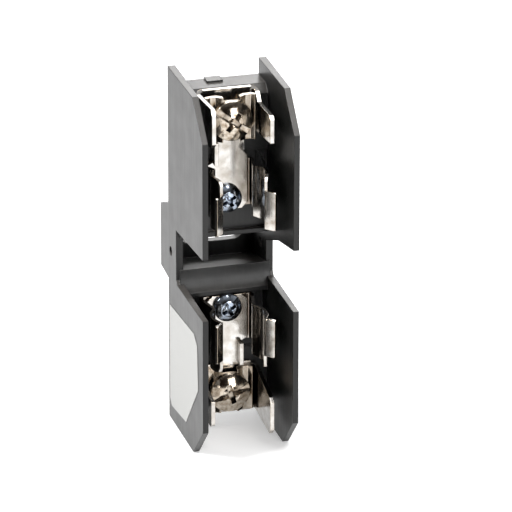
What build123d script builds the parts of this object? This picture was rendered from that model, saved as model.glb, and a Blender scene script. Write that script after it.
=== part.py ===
"""One-pole fuse block for a 9/16 x 2 inch ferrule fuse, without its fuse.

Millimetres. X is the width, +Z is up along the fuse, and the front faces -Y.
The origin is the middle of the mounting slot, on the face that lies on the panel.
"depth" is the distance forward of that face, so a depth of 10 is y = -10.
"""
import os
from math import atan, cos, degrees, radians, sin

from build123d import *

# ---------------------------------------------------------------- fuse and hardware sizes
fuse_radius = 7.14            # ferrule of a 9/16 inch fuse

# ---------------------------------------------------------------- housing
block_height = 103.5          # overall, along the fuse
base_width = 27.6             # across the side plates at their root
side_draft = 0.4              # each outer face leans in this much by its front edge
plate_root = 2.1              # side plate thickness at the root
plate_tip = 1.55              # side plate thickness at the front edge
block_depth = 43.4            # mounting face to front edges
foot_depth = 8.4              # how far the foot stands behind the side plates
foot_top = 8.9                # foot's top edge at the mounting face
foot_top_root = 12.0          # foot's top edge where it meets the side plates
foot_bottom = 9.6
foot_bottom_root = 10.2
corner_chamfer = 9.9          # 45 degree chamfer on each outer front corner
gap_upper_root = 7.0          # upper plates' lower edge at the bay
gap_upper_front = 8.9         # and at the front
gap_lower = 8.9               # lower plates' upper edge
bay_wall_depth = 16.4         # front edge of the bay's side walls
bay_corner = 1.1              # slope where that edge meets the lower plates
gusset_root = 1.4             # right side gusset: height at the bay wall
gusset_front = 28.6           # and the depth where it runs out
gusset_front_z = 6.1
back_wall = 2.4               # wall that carries the mounting slot
slot_length = 18.7
slot_height = 6.4
gang_hole_radius = 1.33       # side holes for linking blocks
gang_hole_depth = 10.9
gang_hole_z = -1.3

tower_top = 47.1              # top of the towers' floor block
tower_top_bump = 0.5          # raised pad on that edge
tower_bump_width = 4.4
tower_bump_depth = 3.6
tower_bump_x = -1.5
tower_chamfer = 2.2           # on the tower's outer front edge
clip_floor = 17.0             # depth of the floor under the fuse clip
floor_step_z = 29.0           # where the two floors meet
upper_lip_z = 4.9             # inner end of the upper tower's floor
lower_lip_z = 11.2            # inner end of the lower tower's floor
lip_rise = 1.6                # the rim across the inner end stands this far forward of the clip's floor
lip_width = 1.2
well_half = 4.7               # half height of the well's mouth round the slot
well_back_z = 7.6             # the well's floor drops this low at the back wall
ramp_back = 17.0              # depth of the hollow ramp where it meets the well
ramp_hollow = (17.3, 8.2)     # depth and drop of the ramp's middle
leaf_pocket_drop = 3.8        # deeper floor beside the clip
leaf_pocket_x = 8.6
leaf_pocket_end = 28.6
leaf_pocket_corner = 6.4      # drop of the pocket's curved outer corner
leaf_pocket_bulge = (1.1, 2.6)   # the curve's middle, in from the plate and down from the pocket's end
shell_wall = 2.2              # walls left round the pockets behind the floors
screw_boss = 13.4             # width of the bosses that hold the nuts
core_rib = (2.0, 28.4, 14.0)  # rib between the bosses: width, middle height and length
hollow_step = 0.6             # the hollow starts this far outside the foot
hollow_side = 0.4             # moulding left beside the hollow, inside each plate

# ---------------------------------------------------------------- fuse clip
clip_thickness = 0.8
fuse_axis_depth = 31.4
clip_arc = 33.0               # the leaf follows the ferrule this far each side of its middle
clip_half_base = 7.5          # middle of the leaf's sheet at the base
leaf_lead = 1.5               # straight run from the arc to the waist
leaf_mouth = 0.6              # straight run from the arc to the pinch
lip_flare = 2.3               # the lip's reach outwards and forwards
pinch_bend = 0.6
clip_low = 13.1               # inner end, near ferrule's inner end
clip_high = 26.6              # outer end of the base and the foot of the leaves
leaf_high = 28.2              # the leaves spread to this outer end
leaf_spread = (20.0, 29.0)    # depths between which they spread
lip_high = 24.1               # the flared lip stops short of the leaf's outer end
leaf_corner_depth = 35.9
leaf_corner_radius = 1.6
lip_corner = 0.9

# ---------------------------------------------------------------- contact strap and terminal
strap_thickness = 1.1
strap_low = 12.7
strap_corner = 1.6
strap_half = 5.7              # half width beside the clip
neck_near = 4.1               # neck edges, on the flanged side and on the plain side
neck_far = 4.85
neck_end = 33.0
neck_flange = 2.4
terminal_half = 8.75          # outer half width over the terminal's legs
terminal_top = 47.7
leg_bend = 1.5                # bend between the terminal's floor and its legs, at mid sheet
leg_reach = 36.0              # depth of the legs' front edges
terminal_z = 40.4             # terminal screw's height
clip_screw_z = 16.1           # clip screw's height
hole_clearance = 0.25         # radial clearance of a screw in the strap and the clip

# ---------------------------------------------------------------- screws and nuts
clip_screw_radius = 2.05      # no. 8 thread
clip_head_radius = 3.9
clip_head_height = 2.7
clip_screw_length = 10.2
clip_nut_flats = 8.7
clip_nut_thickness = 3.2
terminal_screw_radius = 2.38  # no. 10 thread
terminal_head_radius = 5.6
terminal_head_height = 2.8
driver_slot = (1.6, 1.8)      # width and depth of the slot across the head
terminal_screw_length = 11.4
nut_side = 9.5                # square nut behind the strap
nut_thickness = 3.0
thread_fit = 0.05             # radial clearance of a turning thread in its nut
nut_pocket_gap = 0.1
nut_slip = 0.02               # gap between a nut's flats and its pocket
clip_nut_wall = 4.4           # moulding between the clip's floor and its nut
passage_end_wall = 1.4        # wall left behind the terminal screw's passage

# ---------------------------------------------------------------- pressure plate
plate_thickness = 1.2
plate_half = 7.0
plate_reach = 6.4             # half height
plate_crown = 1.3             # how far the middle stands forward of the wings
crown_half = 2.3
crown_root = 3.9
crown_notch = 1.1             # the middle is this much shorter than the wings at each end
plate_rest_gap = 0.05
screw_in_plate = 0.2          # radial clearance of the screw in the plate
upper_open = 2.2              # the upper terminal is stored this far open

# ---------------------------------------------------------------- label
label_thickness = 0.12
label_edge = [(9.9, -17.6), (34.6, -16.0), (37.9, -18.4), (38.8, -31.1), (26.4, -45.9), (11.6, -47.4),
              (9.9, -45.6)]

half_height = block_height / 2
front_width = base_width - 2 * side_draft
strap_floor = clip_floor + clip_thickness     # the terminal end of the strap lies here
lip_depth = clip_floor + lip_rise
leaf_pocket_floor = clip_floor - leaf_pocket_drop
clip_nut_front = clip_floor - clip_nut_wall
strap_front = strap_floor + strap_thickness


def side_plate(outline, side):
    """Prism of a (depth, z) outline, as thick as the drafted side plate on that side."""
    rib = Plane.YZ * make_face(Polyline(*[(-d, z) for d, z in outline], close=True))
    slab = extrude(rib, base_width, both=True)
    root_in = base_width / 2 - plate_root
    tip_in = front_width / 2 - plate_tip
    section = [
        (root_in, 0), (base_width / 2, 0), (base_width / 2, -foot_depth),
        (front_width / 2, -block_depth), (tip_in, -block_depth), (root_in, -foot_depth),
    ]
    wedge = extrude(make_face(Polyline(*[(side * x, y) for x, y in section], close=True)),
                    block_height, both=True)
    return slab & wedge


def side_outline(gusset):
    """Outline of one side wall: upper plate, bay wall with the foot, lower plate."""
    top = half_height
    upper_edge = [(bay_wall_depth, gap_upper_root)]
    if gusset:
        upper_edge = [(gusset_front, gusset_front_z), (bay_wall_depth, gusset_root)]
    return [
        (foot_depth, top), (block_depth - corner_chamfer, top), (block_depth, top - corner_chamfer),
        (block_depth, gap_upper_front), *upper_edge,
        (bay_wall_depth, bay_corner - gap_lower), (bay_wall_depth + bay_corner, -gap_lower),
        (block_depth, -gap_lower),
        (block_depth, corner_chamfer - top), (block_depth - corner_chamfer, -top), (foot_depth, -top),
        (foot_depth, -foot_bottom_root), (0, -foot_bottom), (0, foot_top), (foot_depth, foot_top_root),
    ]


def across(points):
    """Solid between the side plates from a closed (depth, z) outline."""
    width = base_width - plate_root
    face = Plane.YZ * make_face(Polyline(*[(-d, z) for d, z in points], close=True))
    return extrude(face, width / 2, both=True)


def bay_cove():
    """The bay between the towers: a deep well round the slot, then a hollow ramp to the lower tower's rim."""
    middle_depth, middle_z = ramp_hollow
    with BuildPart() as bay:
        with BuildSketch(Plane.YZ):
            with BuildLine():
                Polyline((-back_wall, -well_back_z), (-back_wall, upper_lip_z), (-block_depth, upper_lip_z),
                         (-block_depth, -lower_lip_z), (-lip_depth, -lower_lip_z))
                ThreePointArc((-lip_depth, -lower_lip_z), (-middle_depth, -middle_z), (-ramp_back, -well_half))
                Line((-ramp_back, -well_half), (-back_wall, -well_back_z))
            make_face()
        extrude(amount=base_width, both=True)
    return bay.part


def floor_pockets(sign):
    """Deeper floor beside the clip on both sides, with a curved corner towards the terminal."""
    cut = Part()
    low = lower_lip_z + lip_width
    inward, downward = leaf_pocket_bulge
    for side in (-1, 1):
        inner = leaf_pocket_x
        outer = base_width / 2 - plate_root
        with BuildSketch(Plane.XZ) as pocket:
            with BuildLine():
                Polyline((side * inner, sign * leaf_pocket_end), (side * inner, sign * low),
                         (side * outer, sign * low), (side * outer, sign * (leaf_pocket_end - leaf_pocket_corner)))
                ThreePointArc((side * outer, sign * (leaf_pocket_end - leaf_pocket_corner)),
                              (side * (outer - inward), sign * (leaf_pocket_end - downward)),
                              (side * inner, sign * leaf_pocket_end))
            make_face()
        cut += Pos(0, -leaf_pocket_floor, 0) * extrude(pocket.sketch, block_depth)
    return cut


def tower_block(sign):
    """Floor block of one tower with its rim, nut bosses and hollow back."""
    start = upper_lip_z if sign > 0 else well_half
    rim = (upper_lip_z if sign > 0 else lower_lip_z) + lip_width
    outline = [
        (foot_depth, start), (lip_depth, start), (lip_depth, rim), (clip_floor, rim),
        (clip_floor, floor_step_z), (strap_floor, floor_step_z), (strap_floor, tower_top - tower_chamfer),
        (strap_floor - tower_chamfer, tower_top), (foot_depth, tower_top),
    ]
    block = across([(d, sign * z) for d, z in outline])
    bump_z = sign * (tower_top + tower_top_bump / 2)
    block += Pos(tower_bump_x, -(foot_depth + tower_bump_depth / 2), bump_z) * Box(
        tower_bump_width, tower_bump_depth, tower_top_bump)
    block -= floor_pockets(sign)
    hollow_low = foot_top_root + hollow_step
    hollow_high = tower_top - shell_wall
    inner_half = base_width / 2 - plate_root - hollow_side
    hollow_depth = leaf_pocket_floor - shell_wall + hollow_step - foot_depth
    hollow = Pos(0, -(foot_depth + hollow_depth / 2), sign * (hollow_low + hollow_high) / 2) * Box(
        2 * inner_half, hollow_depth, hollow_high - hollow_low)
    for z in (clip_screw_z, terminal_z):
        hollow -= Pos(0, -(foot_depth + hollow_depth / 2), sign * z) * Box(screw_boss, hollow_depth, screw_boss)
    rib_width, rib_z, rib_length = core_rib
    hollow -= Pos(0, -(foot_depth + hollow_depth / 2), sign * rib_z) * Box(rib_width, hollow_depth, rib_length)
    return block - hollow


def screw_passages(sign):
    """Clip screw hole with its hexagon nut pocket, and the terminal's square nut pocket and screw hole."""
    clip_hole = Rot(90, 0, 0) * Cylinder(clip_screw_radius + 0.3, 60)
    cut = Pos(0, 0, sign * clip_screw_z) * clip_hole
    hexagon = RegularPolygon(clip_nut_flats / 2 + nut_slip, 6, major_radius=False)
    cut += Pos(0, -foot_depth, sign * clip_screw_z) * extrude(Plane.XZ * hexagon, clip_nut_front - foot_depth)
    pocket = nut_thickness + nut_pocket_gap
    cut += Pos(0, -(strap_floor - pocket / 2), sign * terminal_z) * Box(
        nut_side + 2 * nut_slip, pocket, nut_side + 2 * nut_slip)
    reach = strap_floor - foot_depth - passage_end_wall
    cut += Pos(0, -(strap_floor - reach / 2), sign * terminal_z) * (
        Rot(90, 0, 0) * Cylinder(terminal_screw_radius + 0.5, reach))
    return cut


def make_housing():
    core = across([(0, -foot_bottom), (0, foot_top), (foot_depth, foot_top_root), (clip_floor, foot_top_root),
                   (clip_floor, -foot_bottom_root), (foot_depth, -foot_bottom_root)])
    core += tower_block(1) + tower_block(-1)
    core -= bay_cove()
    body = core + side_plate(side_outline(False), -1) + side_plate(side_outline(True), 1)
    slot = extrude(Plane.XZ * SlotOverall(slot_length, slot_height), 2 * back_wall, both=True)
    body -= slot
    body -= screw_passages(1) + screw_passages(-1)
    body -= Pos(0, -gang_hole_depth, gang_hole_z) * (Rot(0, 90, 0) * Cylinder(gang_hole_radius, 2 * base_width))
    return body


def leaf_path():
    """Middle line of one leaf, from the middle of the base out to the lip's edge, as (x, depth)."""
    ring = fuse_radius + clip_thickness / 2
    turn = radians(clip_arc)
    corner = (ring / cos(turn), fuse_axis_depth)
    near = (ring * cos(turn) - leaf_lead * sin(turn), fuse_axis_depth - ring * sin(turn) - leaf_lead * cos(turn))
    pinch = (ring * cos(turn) - leaf_mouth * sin(turn), fuse_axis_depth + ring * sin(turn) + leaf_mouth * cos(turn))
    tip = (pinch[0] + lip_flare, pinch[1] + lip_flare)
    base_depth = clip_floor + clip_thickness / 2
    return [(clip_half_base, base_depth), near, corner, pinch, tip], [1.0, 0.9, ring, pinch_bend]


def make_clip():
    """One-piece spring clip, in the upper tower's position."""
    points, radii = leaf_path()
    right = [(x, -d) for x, d in points]
    left = [(-x, y) for x, y in reversed(right)]
    line = FilletPolyline(*left, *right, radius=[*reversed(radii), *radii])
    profile = trace(line, clip_thickness)
    sheet = Pos(0, 0, clip_low) * extrude(profile, leaf_high - clip_low)
    tip_depth = points[-1][1] + clip_thickness
    corner = leaf_corner_radius
    root, spread = leaf_spread
    outline = [
        (clip_floor - 1, clip_low - 1), (tip_depth - lip_corner, clip_low - 1),
        (tip_depth - lip_corner, clip_low), (tip_depth, clip_low + lip_corner),
        (tip_depth, lip_high - lip_corner), (tip_depth - lip_corner, lip_high), (leaf_corner_depth, lip_high),
        (leaf_corner_depth, leaf_high - corner), (leaf_corner_depth - 0.29 * corner, leaf_high - 0.29 * corner),
        (leaf_corner_depth - corner, leaf_high), (spread, leaf_high), (root, clip_high), (clip_floor - 1, clip_high),
    ]
    side = extrude(Plane.YZ * make_face(Polyline(*[(-d, z) for d, z in outline], close=True)), base_width, both=True)
    clip = sheet & side
    return clip - Pos(0, 0, clip_screw_z) * (Rot(90, 0, 0) * Cylinder(clip_screw_radius + hole_clearance, 60))


def leg_cutter(side, outline):
    """Half of the space round the terminal, shaped by one leg's (depth, z) outline."""
    face = Plane.YZ * make_face(Polyline(*[(-d, z) for d, z in outline], close=True))
    return extrude(face, side * base_width)


def make_strap():
    """Contact strap with the terminal's channel, in the upper tower's position."""
    low = strap_low + strap_corner
    notch = terminal_half - leg_bend - 0.5
    outline = [
        (strap_corner - strap_half, strap_low), (strap_half - strap_corner, strap_low), (strap_half, low),
        (strap_half, floor_step_z - 0.8), (neck_far, floor_step_z), (neck_far, neck_end),
        (notch, neck_end), (notch, terminal_top), (-notch, terminal_top), (-notch, neck_end),
        (-neck_near, neck_end), (-neck_near, floor_step_z - 2.4), (-strap_half, floor_step_z - 3.2),
        (-strap_half, low),
    ]
    flat = Plane.XZ * make_face(Polyline(*outline, close=True))
    strap = Pos(0, -strap_floor, 0) * extrude(flat, strap_thickness)
    side = terminal_half - strap_thickness / 2
    floor = -(strap_floor + strap_thickness / 2)
    bend = FilletPolyline((-side, -leg_reach - 1), (-side, floor), (side, floor), (side, -leg_reach - 1),
                          radius=leg_bend)
    channel = Pos(0, 0, neck_end) * extrude(trace(bend, strap_thickness), terminal_top)
    root = strap_floor + leg_bend + 0.6
    tall = [
        (strap_floor, neck_end + 0.6), (root, neck_end + 1.2), (leg_reach - 1.2, 37.4), (leg_reach, 38.6),
        (leg_reach, 46.8), (leg_reach - 1.4, 48.3), (root, 47.0), (strap_floor, terminal_top),
    ]
    short = [
        (strap_floor, neck_end + 0.6), (root, 35.4), (leg_reach - 1.2, 36.9), (leg_reach - 1.2, 43.6),
        (leg_reach - 2.2, 44.6), (root + 2.2, 44.2), (root, terminal_top - 1.2), (strap_floor, terminal_top),
    ]
    strap += channel & (leg_cutter(-1, tall) + leg_cutter(1, short))
    flange_z = (floor_step_z - 2.4 + neck_end) / 2
    flange_height = neck_end - floor_step_z + 2.4
    strap += Pos(strap_thickness / 2 - neck_near, -(strap_front + neck_flange / 2), flange_z) * Box(
        strap_thickness, neck_flange, flange_height)
    for z, radius in ((clip_screw_z, clip_screw_radius), (terminal_z, terminal_screw_radius)):
        strap -= Pos(0, 0, z) * (Rot(90, 0, 0) * Cylinder(radius + hole_clearance, 60))
    return strap


def round_head(radius, height):
    """Domed screw head standing on z = 0, with its crown at z = height."""
    rim = height * 0.42
    rise = height - rim
    dome_radius = (radius ** 2 + rise ** 2) / (2 * rise)
    head = Cylinder(radius, height, align=(Align.CENTER, Align.CENTER, Align.MIN))
    return head & Pos(0, 0, height - dome_radius) * Sphere(dome_radius)


def cross_recess(size, depth):
    """Cross recess for a driver, cut downwards from z = 0."""
    bar = Box(size, size * 0.24, depth, align=(Align.CENTER, Align.CENTER, Align.MAX))
    middle = Pos(0, 0, -depth) * Cone(size * 0.13, size * 0.26, depth,
                                      align=(Align.CENTER, Align.CENTER, Align.MIN))
    return bar + Rot(0, 0, 90) * bar + middle


def face_front(solid):
    """Turn a solid built along +Z so that it points forward, to -Y."""
    return Rot(90, 0, 0) * solid


def make_clip_screw():
    head = round_head(clip_head_radius, clip_head_height)
    head -= Pos(0, 0, clip_head_height) * (Rot(0, 0, 28) * cross_recess(4.3, 1.7))
    shank = Cylinder(clip_screw_radius, clip_screw_length, align=(Align.CENTER, Align.CENTER, Align.MAX))
    return Pos(0, -strap_front, clip_screw_z) * face_front(head + shank)


def make_clip_nut():
    prism = extrude(Plane.XZ * RegularPolygon(clip_nut_flats / 2, 6, major_radius=False), clip_nut_thickness)
    nut = Pos(0, -(clip_nut_front - clip_nut_thickness), clip_screw_z) * prism
    return nut - Pos(0, 0, clip_screw_z) * (Rot(90, 0, 0) * Cylinder(clip_screw_radius, 60))


def make_terminal_nut():
    nut = Pos(0, -(strap_floor - nut_thickness / 2), terminal_z) * Box(nut_side, nut_thickness, nut_side)
    bore = Rot(90, 0, 0) * Cylinder(terminal_screw_radius + thread_fit, 60)
    return nut - Pos(0, 0, terminal_z) * bore


def make_pressure_plate(opened):
    """Formed plate whose middle stands forward under the screw head."""
    rear = strap_front + plate_rest_gap + opened
    mid = plate_thickness / 2
    line = FilletPolyline(
        (-plate_half, -(rear + mid + 0.7)), (-plate_half + 1.2, -(rear + mid)), (-crown_root, -(rear + mid)),
        (-crown_half, -(rear + mid + plate_crown)), (crown_half, -(rear + mid + plate_crown)),
        (crown_root, -(rear + mid)), (plate_half - 1.2, -(rear + mid)), (plate_half, -(rear + mid + 0.7)),
        radius=0.8)
    plate = Pos(0, 0, terminal_z - plate_reach) * extrude(trace(line, plate_thickness), 2 * plate_reach)
    for end in (-1, 1):
        middle = terminal_z + end * plate_reach
        plate -= Pos(0, -rear, middle) * Box(2 * crown_half, 6 * plate_thickness, 2 * crown_notch)
    hole = Rot(90, 0, 0) * Cylinder(terminal_screw_radius + screw_in_plate, 60)
    return plate - Pos(0, 0, terminal_z) * hole


def make_terminal_screw(opened, slot_angle):
    seat = strap_front + plate_rest_gap + plate_thickness + plate_crown + opened
    head = round_head(terminal_head_radius, terminal_head_height)
    width, depth = driver_slot
    head -= Pos(0, 0, terminal_head_height) * (Rot(0, 0, slot_angle) * Box(
        3 * terminal_head_radius, width, depth, align=(Align.CENTER, Align.CENTER, Align.MAX)))
    head -= Pos(0, 0, terminal_head_height) * (Rot(0, 0, slot_angle) * cross_recess(5.8, 2.4))
    shank = Cylinder(terminal_screw_radius, terminal_screw_length, align=(Align.CENTER, Align.CENTER, Align.MAX))
    return Pos(0, -seat, terminal_z) * face_front(head + shank)


def make_label():
    face = Plane.YZ * make_face(Polyline(*[(-d, z) for d, z in label_edge], close=True))
    sheet = extrude(face, label_thickness)
    draft = (base_width - front_width) / 2 / (block_depth - foot_depth)
    middle = 24.0
    outer = base_width / 2 - draft * (middle - foot_depth)
    sheet = Pos(-label_thickness, middle, 0) * sheet
    turned = Rot(0, 0, degrees(atan(draft))) * sheet
    return Pos(-outer, -middle, 0) * turned


os.makedirs("parts", exist_ok=True)
half_turn = Rot(0, 180, 0)                # the lower terminal and clip are the upper ones turned half round
nodes = {"housing": make_housing(), "identification_label": make_label()}
upper_set = {
    "fuse_clip": make_clip(),
    "contact_strap": make_strap(),
    "clip_screw": make_clip_screw(),
    "clip_nut": make_clip_nut(),
    "terminal_nut": make_terminal_nut(),
}
for name, solid in upper_set.items():
    nodes["upper_" + name] = solid
    nodes["lower_" + name] = half_turn * solid
nodes["upper_pressure_plate"] = make_pressure_plate(upper_open)
nodes["lower_pressure_plate"] = half_turn * make_pressure_plate(0)
nodes["upper_terminal_screw"] = make_terminal_screw(upper_open, -36)
nodes["lower_terminal_screw"] = half_turn * make_terminal_screw(0, 16)
for name, solid in nodes.items():
    export_step(solid, f"parts/{name}.step")
    print(name, round(solid.volume, 2), len(solid.solids()))
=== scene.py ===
"""Looks of an open one-pole fuse block: black moulding, plated clips, straps and screws, blank label.

Metres, in the frame of the CAD model: X to the right, -Y to the front, +Z up along the fuse.
Patterns in the materials are in millimetres.
"""
import math

import bpy
from mathutils import Matrix, Vector


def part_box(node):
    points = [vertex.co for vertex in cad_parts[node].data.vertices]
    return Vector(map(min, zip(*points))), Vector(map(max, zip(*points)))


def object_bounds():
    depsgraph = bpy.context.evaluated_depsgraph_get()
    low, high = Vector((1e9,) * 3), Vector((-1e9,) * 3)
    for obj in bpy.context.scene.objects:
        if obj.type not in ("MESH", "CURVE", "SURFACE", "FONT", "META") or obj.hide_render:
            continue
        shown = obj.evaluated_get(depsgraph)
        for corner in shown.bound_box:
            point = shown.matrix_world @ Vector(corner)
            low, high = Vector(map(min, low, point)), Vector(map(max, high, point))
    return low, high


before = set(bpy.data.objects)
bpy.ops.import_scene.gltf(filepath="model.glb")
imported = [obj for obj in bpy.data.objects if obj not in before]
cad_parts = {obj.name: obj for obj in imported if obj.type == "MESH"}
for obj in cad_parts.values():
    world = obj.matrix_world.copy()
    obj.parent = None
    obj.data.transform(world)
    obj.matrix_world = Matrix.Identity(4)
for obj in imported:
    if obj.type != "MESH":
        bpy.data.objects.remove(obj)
size_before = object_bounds()
MM = 0.001

# ------------------------------------------------------------------ housing
# One moulding in black phenolic: satin, nearly black face on, greyer where light skims it.
# It has fine grain, faint flow streaks down the height and slightly rounded edges. What faces up is painted
# lighter grey in patches: partly a film of moulding dust, partly painted light from above.


def linear(hex_colour):
    """sRGB hex to linear RGBA."""
    channels = [int(hex_colour[i:i + 2], 16) / 255 for i in (1, 3, 5)]
    return [c / 12.92 if c <= 0.04045 else ((c + 0.055) / 1.055) ** 2.4 for c in channels] + [1.0]


def node(owner, kind, settings=None, **links):
    """Adds a node, sets its properties, and links or fills its inputs. _7 is the input with index 7."""
    made = owner.node_tree.nodes.new(kind)
    for key, value in (settings or {}).items():
        setattr(made, key, value)
    for key, value in links.items():
        socket = made.inputs[int(key[1:])] if key[0] == "_" else made.inputs[key.replace("_", " ")]
        if isinstance(value, bpy.types.NodeSocket):
            owner.node_tree.links.new(value, socket)
        else:
            socket.default_value = value
    return made


def new_material(name):
    """Empty node material with its principled shader and its Object coordinates in millimetres."""
    material = bpy.data.materials.new(name)
    material.use_nodes = True
    shader = material.node_tree.nodes["Principled BSDF"]
    place = node(material, "ShaderNodeTexCoord").outputs["Object"]
    scaled = node(material, "ShaderNodeVectorMath", {"operation": "SCALE"}, _0=place, Scale=1 / MM)
    return material, shader, scaled.outputs[0]


def finish_surface(material, shader, colour, roughness, normal):
    """Links what a surface has: its colour, its roughness and its shading normal."""
    for name, value in (("Base Color", colour), ("Roughness", roughness), ("Normal", normal)):
        material.node_tree.links.new(value, shader.inputs[name])


def paint(name, material):
    """Gives a CAD node this material in every slot."""
    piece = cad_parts[name]
    if not piece.material_slots:
        piece.data.materials.append(material)
    for slot in piece.material_slots:
        slot.material = material


phenolic, shader, place = new_material("black_phenolic_satin")
streak_place = node(phenolic, "ShaderNodeMapping", None, Vector=place, Scale=(1.2, 0.9, 0.035)).outputs[0]
streaks = node(phenolic, "ShaderNodeTexNoise", None, Vector=streak_place, Scale=1.0, Detail=5.0,
               Roughness=0.6).outputs[0]
grain = node(phenolic, "ShaderNodeTexNoise", None, Vector=place, Scale=5.5, Detail=4.0,
             Roughness=0.7).outputs[0]
blotch = node(phenolic, "ShaderNodeTexNoise", None, Vector=place, Scale=0.16, Detail=3.0).outputs[0]

streaked = node(phenolic, "ShaderNodeMapRange", None, Value=streaks, From_Min=0.35, From_Max=0.7).outputs[0]
tone = node(phenolic, "ShaderNodeMix", {"data_type": "RGBA"}, Factor=streaked, _6=linear("#0d0d0d"),
            _7=linear("#181817")).outputs[2]
# Painted light: faces that point up are mixed towards lighter grey #565350 in patches, partly dust, partly
# painted light from above.
facing = node(phenolic, "ShaderNodeNewGeometry").outputs["Normal"]
up = node(phenolic, "ShaderNodeSeparateXYZ", None, Vector=facing).outputs[2]
up_facing_painted_light = node(phenolic, "ShaderNodeMapRange", None, Value=up, From_Min=0.3, From_Max=0.85).outputs[0]
patchy = node(phenolic, "ShaderNodeMapRange", None, Value=streaks, To_Min=0.45, To_Max=1.1).outputs[0]
dust_and_painted_light = node(phenolic, "ShaderNodeMath", {"operation": "MULTIPLY", "use_clamp": True}, _0=up_facing_painted_light,
            _1=patchy).outputs[0]
colour = node(phenolic, "ShaderNodeMix", {"data_type": "RGBA"}, Factor=dust_and_painted_light, _6=tone,
              _7=linear("#565350")).outputs[2]

streak_gloss = node(phenolic, "ShaderNodeMapRange", None, Value=streaks, To_Min=0.22, To_Max=0.36).outputs[0]
blotch_gloss = node(phenolic, "ShaderNodeMapRange", None, Value=blotch, To_Min=0.0, To_Max=0.12).outputs[0]
gloss = node(phenolic, "ShaderNodeMath", {"operation": "ADD"}, _0=streak_gloss, _1=blotch_gloss).outputs[0]

fine = node(phenolic, "ShaderNodeMapRange", None, Value=grain, To_Min=0.0, To_Max=0.5).outputs[0]
relief = node(phenolic, "ShaderNodeMath", {"operation": "ADD"}, _0=fine, _1=streaks).outputs[0]
rounded = node(phenolic, "ShaderNodeBevel", {"samples": 6}, Radius=0.35 * MM).outputs[0]
bump = node(phenolic, "ShaderNodeBump", None, Strength=0.25, Distance=0.02 * MM, Height=relief,
            Normal=rounded)
finish_surface(phenolic, shader, colour, gloss, bump.outputs[0])
shader.inputs["IOR"].default_value = 1.4
paint("housing", phenolic)

# ------------------------------------------------------------------ identification label
# Film stuck to the left side of the lower plates and left blank.
# It is matt white, with the faint tooth of printed stock.
film, shader, place = new_material("matt_white_label_film")
tooth = node(film, "ShaderNodeTexNoise", None, Vector=place, Scale=9.0, Detail=3.0).outputs[0]
worn = node(film, "ShaderNodeMapRange", None, Value=tooth, From_Min=0.3, From_Max=0.7).outputs[0]
colour = node(film, "ShaderNodeMix", {"data_type": "RGBA"}, Factor=worn, _6=linear("#949492"),
              _7=linear("#a2a2a0")).outputs[2]
gloss = node(film, "ShaderNodeMapRange", None, Value=tooth, To_Min=0.42, To_Max=0.6).outputs[0]
bump = node(film, "ShaderNodeBump", None, Strength=0.15, Distance=0.01 * MM, Height=tooth)
finish_surface(film, shader, colour, gloss, bump.outputs[0])
paint("identification_label", film)

# ------------------------------------------------------------------ straps, clips and pressure plates
# Stamped copper alloy strip with bright tin-nickel plate: warm silver, rolled along the strip, with soft
# handling marks, browner along the sheared edges where the plate thins, and darker in the corners,
# which is partly dirt and partly painted shade.


def dirt_and_painted_shade_in_crevices(material, colour, crevice_dirt_and_shade, reach_mm):
    """Colour that darkens to the dirt colour in grooves and corners narrower than reach: partly dirt, partly
    painted shade.
    """
    nearby = node(material, "ShaderNodeAmbientOcclusion", {"samples": 8}, Distance=reach_mm * MM)
    depth = node(material, "ShaderNodeMapRange", None, Value=nearby.outputs["AO"], From_Min=0.25,
                 From_Max=0.8).outputs[0]
    return node(material, "ShaderNodeMix", {"data_type": "RGBA"}, Factor=depth, _6=crevice_dirt_and_shade,
                _7=colour).outputs[2]


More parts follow.
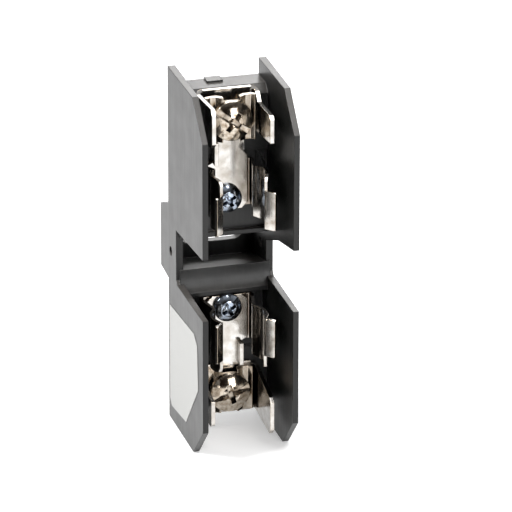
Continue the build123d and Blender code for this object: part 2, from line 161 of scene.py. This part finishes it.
def strip_metal(name, light, warm, roll):
    """Plated strip. roll is how often its lines change per millimetre along X, Y and Z."""
    material, shader, place = new_material(name)
    rolled = node(material, "ShaderNodeMapping", None, Vector=place, Scale=roll).outputs[0]
    lines = node(material, "ShaderNodeTexNoise", None, Vector=rolled, Scale=1.0, Detail=4.0,
                 Roughness=0.65).outputs[0]
    cloud = node(material, "ShaderNodeTexNoise", None, Vector=place, Scale=0.35, Detail=3.0).outputs[0]
    scratches = node(material, "ShaderNodeTexNoise", None, Vector=place, Scale=2.2, Detail=6.0,
                     Roughness=0.8, Distortion=1.5).outputs[0]

    clouded = node(material, "ShaderNodeMapRange", None, Value=cloud, From_Min=0.35,
                   From_Max=0.68).outputs[0]
    plate = node(material, "ShaderNodeMix", {"data_type": "RGBA"}, Factor=clouded, _6=linear(light),
                 _7=linear(warm)).outputs[2]
    rounded = node(material, "ShaderNodeBevel", {"samples": 6}, Radius=0.16 * MM).outputs[0]
    flat = node(material, "ShaderNodeNewGeometry").outputs["Normal"]
    bend = node(material, "ShaderNodeVectorMath", {"operation": "DOT_PRODUCT"}, _0=rounded,
                _1=flat).outputs["Value"]
    edge = node(material, "ShaderNodeMapRange", None, Value=bend, From_Min=0.9, From_Max=0.995).outputs[0]
    colour = node(material, "ShaderNodeMix", {"data_type": "RGBA"}, Factor=edge, _6=linear("#c4b49e"),
                  _7=plate).outputs[2]

    line_gloss = node(material, "ShaderNodeMapRange", None, Value=lines, To_Min=0.05,
                      To_Max=0.16).outputs[0]
    cloud_gloss = node(material, "ShaderNodeMapRange", None, Value=cloud, To_Min=0.0,
                       To_Max=0.1).outputs[0]
    gloss = node(material, "ShaderNodeMath", {"operation": "ADD"}, _0=line_gloss,
                 _1=cloud_gloss).outputs[0]

    marks = node(material, "ShaderNodeMapRange", None, Value=scratches, To_Min=0.0, To_Max=0.7).outputs[0]
    relief = node(material, "ShaderNodeMath", {"operation": "ADD"}, _0=lines, _1=marks).outputs[0]
    bump = node(material, "ShaderNodeBump", None, Strength=0.22, Distance=0.012 * MM, Height=relief,
                Normal=rounded)
    # Painted shade: the strip darkens to brown #4a3b2c in its corners and grooves, partly dirt, partly
    # painted shade.
    finish_surface(material, shader, dirt_and_painted_shade_in_crevices(material, colour, linear("#4a3b2c"), 2.5), gloss,
                   bump.outputs[0])
    shader.inputs["Metallic"].default_value = 1.0
    return material


strap_metal = strip_metal("tin_nickel_plated_strap", "#cfcdca", "#aaa49c", (3.0, 3.0, 0.12))
clip_metal = strip_metal("nickel_plated_spring_strip", "#c1beb9", "#8c847b", (3.0, 3.0, 0.1))
clamp_metal = strip_metal("nickel_plated_clamp_strip", "#bfb7ac", "#7f705d", (0.15, 3.0, 3.0))
for side in ("upper", "lower"):
    paint(side + "_contact_strap", strap_metal)
    paint(side + "_fuse_clip", clip_metal)
    paint(side + "_pressure_plate", clamp_metal)

# ------------------------------------------------------------------ screws and nuts
# Headed and thread-rolled steel. The clip screws and their nuts are bright zinc with a blue passivate, and
# the terminal screws and nuts are nickel. Both have faint rings from the heading die and turns on the shank.
THREAD_PITCH = 0.794
RING_RATE = 19.0              # radians per millimetre, which is a ring every 0.33 mm


def screw_metal(name, light, dark, crevice_dirt_and_shade, screw, shank_radius):
    """Plated steel for the screw in that node and for its nut. The screw's axis runs along Y."""
    material, shader, place = new_material(name)
    low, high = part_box(screw)
    axis = (0.0, 0.0, (low[2] + high[2]) / 2 / MM)
    local = node(material, "ShaderNodeVectorMath", {"operation": "SUBTRACT"}, _0=place, _1=axis).outputs[0]
    x, y, z = node(material, "ShaderNodeSeparateXYZ", None, Vector=local).outputs
    across = node(material, "ShaderNodeCombineXYZ", None, X=x, Z=z).outputs[0]
    radius = node(material, "ShaderNodeVectorMath", {"operation": "LENGTH"}, _0=across).outputs["Value"]

    angle = node(material, "ShaderNodeMath", {"operation": "ARCTAN2"}, _0=x, _1=z).outputs[0]
    turn = node(material, "ShaderNodeMath", {"operation": "MULTIPLY"}, _0=angle, _1=1 / math.tau).outputs[0]
    rise = node(material, "ShaderNodeMath", {"operation": "DIVIDE"}, _0=y, _1=THREAD_PITCH).outputs[0]
    helix = node(material, "ShaderNodeMath", {"operation": "ADD"}, _0=rise, _1=turn).outputs[0]
    tooth = node(material, "ShaderNodeMath", {"operation": "PINGPONG"}, _0=helix, _1=0.5).outputs[0]
    on_shank = node(material, "ShaderNodeMath", {"operation": "LESS_THAN"}, _0=radius,
                    _1=shank_radius + 0.05).outputs[0]
    thread = node(material, "ShaderNodeMath", {"operation": "MULTIPLY"}, _0=tooth, _1=on_shank).outputs[0]
    swept = node(material, "ShaderNodeMath", {"operation": "MULTIPLY"}, _0=radius, _1=RING_RATE).outputs[0]
    rings = node(material, "ShaderNodeMath", {"operation": "SINE"}, _0=swept).outputs[0]

    cloud = node(material, "ShaderNodeTexNoise", None, Vector=place, Scale=0.9, Detail=4.0).outputs[0]
    clouded = node(material, "ShaderNodeMapRange", None, Value=cloud, From_Min=0.35, From_Max=0.7).outputs[0]
    plate = node(material, "ShaderNodeMix", {"data_type": "RGBA"}, Factor=clouded, _6=linear(light),
                 _7=linear(dark)).outputs[2]
    gloss = node(material, "ShaderNodeMapRange", None, Value=cloud, To_Min=0.06, To_Max=0.17).outputs[0]

    rounded = node(material, "ShaderNodeBevel", {"samples": 6}, Radius=0.18 * MM).outputs[0]
    ringed = node(material, "ShaderNodeBump", None, Strength=0.12, Distance=0.01 * MM, Height=rings,
                  Normal=rounded).outputs[0]
    threaded = node(material, "ShaderNodeBump", None, Strength=1.0, Distance=0.55 * MM, Height=thread,
                    Normal=ringed).outputs[0]
    # Painted shade: the screw darkens to its dark colour in the recess and the thread grooves, partly dirt,
    # partly painted shade.
    finish_surface(material, shader, dirt_and_painted_shade_in_crevices(material, plate, linear(crevice_dirt_and_shade), 1.6), gloss, threaded)
    shader.inputs["Metallic"].default_value = 1.0
    return material


for side in ("upper", "lower"):
    clip_screw, terminal_screw = side + "_clip_screw", side + "_terminal_screw"
    # The third colour of each screw is its crevice colour, which is partly dirt and partly painted shade.
    zinc = screw_metal(side + "_blue_zinc_screw", "#b4bdc9", "#8793a5", "#1d2836", clip_screw, 2.05)
    paint(clip_screw, zinc)
    paint(side + "_clip_nut", zinc)
    nickel = screw_metal(side + "_nickel_screw", "#c4bbae", "#8a7a67", "#3b2c1f", terminal_screw, 2.38)
    paint(terminal_screw, nickel)
    paint(side + "_terminal_nut", nickel)

# ------------------------------------------------------------------ floor
# A plain pale sheet just under the block.
# It glows a little, so that it stays white to its far edge.
low, high = size_before
bpy.ops.mesh.primitive_plane_add(size=6.0, location=(0, 0, low[2] - 0.2 * MM))
floor = bpy.context.object
floor.name = "floor"
paper, shader, place = new_material("white_paper_sweep")
shader.inputs["Base Color"].default_value = linear("#f4f4f4")
shader.inputs["Roughness"].default_value = 0.9
shader.inputs["Emission Color"].default_value = linear("#ffffff")
shader.inputs["Emission Strength"].default_value = 0.4
floor.data.materials.append(paper)

# ------------------------------------------------------------------ light
# White surroundings with a dim warm room in front. The key stands high on the left, and weaker boxes stand
# above, low in front and behind. Bare Standard view, so that white paper comes out white.
world = bpy.data.worlds.new("studio")
bpy.context.scene.world = world
world.use_nodes = True
direction = node(world, "ShaderNodeTexCoord").outputs["Generated"]
x, y, z = node(world, "ShaderNodeSeparateXYZ", None, Vector=direction).outputs
ahead = node(world, "ShaderNodeMapRange", None, Value=y, From_Min=-0.9, From_Max=-0.1).outputs[0]
height = node(world, "ShaderNodeMath", {"operation": "ABSOLUTE"}, _0=z).outputs[0]
aside = node(world, "ShaderNodeMapRange", None, Value=height, From_Min=0.5, From_Max=0.85).outputs[0]
lit = node(world, "ShaderNodeMath", {"operation": "MAXIMUM"}, _0=ahead, _1=aside).outputs[0]
sky = node(world, "ShaderNodeMix", {"data_type": "RGBA"}, Factor=lit, _6=linear("#30261f"),
           _7=linear("#ffffff")).outputs[2]
background = world.node_tree.nodes["Background"]
world.node_tree.links.new(sky, background.inputs["Color"])
background.inputs["Strength"].default_value = 0.6


def soft_box(name, place, target, width, height, power):
    """Rectangular area light at place that points at target. Its power is in watts."""
    light = bpy.data.lights.new(name, "AREA")
    light.shape = "RECTANGLE"
    light.size = width
    light.size_y = height
    light.energy = power
    lamp = bpy.data.objects.new(name, light)
    bpy.context.scene.collection.objects.link(lamp)
    lamp.location = place
    lamp.rotation_euler = (Vector(target) - Vector(place)).to_track_quat("-Z", "Y").to_euler()


middle = [(a + b) / 2 for a, b in zip(low, high)]
soft_box("key_box", (-0.74, -0.16, 0.66), middle, 0.22, 0.3, 11.0)
soft_box("top_box", (0.25, -0.42, 0.9), middle, 0.4, 0.3, 3.0)
soft_box("front_box", (0.27, -0.97, 0.2), middle, 0.34, 0.46, 3.4)
soft_box("back_box", (0.27, 0.96, 0.42), middle, 0.6, 0.3, 3.0)
bpy.context.scene.view_settings.view_transform = "Standard"

# ------------------------------------------------------------------ camera
# Long lens from the front left, looking down on the block.
# It aims at a point inside the block, right of its middle.
yaw, pitch, roll = math.radians(-15.63), math.radians(22.65), math.radians(0.157)
distance = 1.1927
aim = Vector((7.0, -23.2, -0.1)) * MM
turn = (Matrix.Rotation(yaw, 4, "Z") @ Matrix.Rotation(math.pi / 2 - pitch, 4, "X")
        @ Matrix.Rotation(roll, 4, "Z"))
camera_data = bpy.data.cameras.new("camera")
camera_data.lens = 308.1
camera_data.sensor_width = 36.0
camera = bpy.data.objects.new("camera", camera_data)
bpy.context.scene.collection.objects.link(camera)
camera.matrix_world = Matrix.Translation(aim + turn.to_3x3() @ Vector((0, 0, distance))) @ turn
bpy.context.scene.camera = camera
